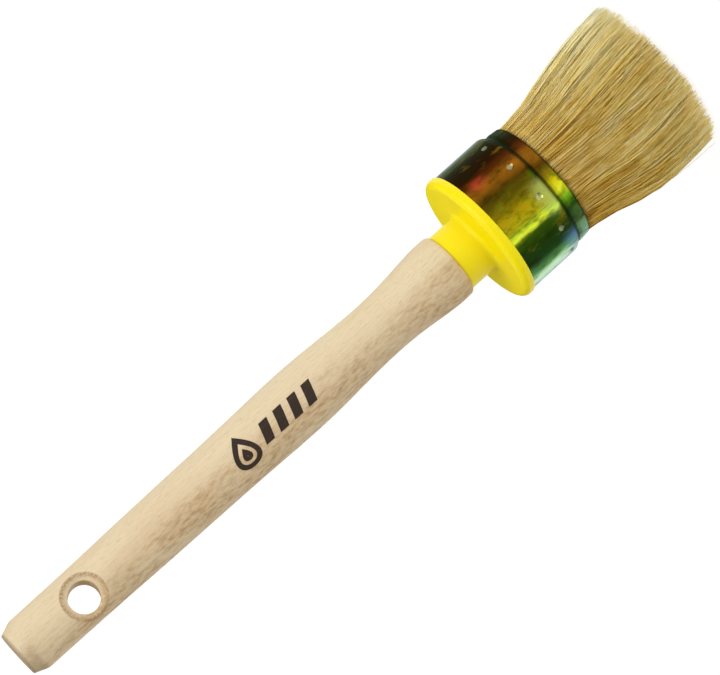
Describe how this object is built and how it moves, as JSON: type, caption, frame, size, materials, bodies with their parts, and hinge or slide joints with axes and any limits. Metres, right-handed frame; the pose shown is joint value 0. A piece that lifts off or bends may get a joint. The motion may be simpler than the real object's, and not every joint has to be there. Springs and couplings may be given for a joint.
{
  "type": "round stencil brush",
  "caption": "Round stencil brush: turned beech handle with a hanging hole, plastic collar, zinc-passivated steel ferrule and a flaring natural bristle tuft cut flat.",
  "frame": {"origin": "centre of the flat face of the bristle tips, on which the brush stands", "axes": "+Z runs from the tips up the handle to the butt; Y is the axis of the hanging hole; X completes the frame"},
  "size_m": [0.0526, 0.0526, 0.2643],
  "materials": {
    "beech": "pale turned beech, fine sanded, satin",
    "wood_glue": "dried wood glue, hidden",
    "yellow_plastic": "bright yellow moulded plastic, semi-gloss",
    "passivated_steel": "zinc plate with an iridescent yellow passivation, glossy",
    "epoxy": "cast epoxy, hidden",
    "plug_wood": "plain turned wood, hidden",
    "natural_bristle": "straw-coloured natural hair, slightly glossy",
    "print_ink": "dark brown pad-printed ink"
  },
  "bodies": {
    "brush": {"handle": "beech", "tenon_glue": "wood_glue", "collar": "yellow_plastic", "ferrule": "passivated_steel", "resin_block": "epoxy", "filler_plug": "plug_wood", "bristle_roots": "natural_bristle"},
    "tuft": {"bristle_tuft": "natural_bristle"}
  },
  "joints": [
    {"name": "bristle_flex", "type": "hinge", "parent": "brush", "child": "tuft", "pos_m": [0, 0, 0.0425], "axis": [0, 1, 0], "range_deg": [-20, 20], "stiffness_Nm_per_rad": 1.5}
  ]
}
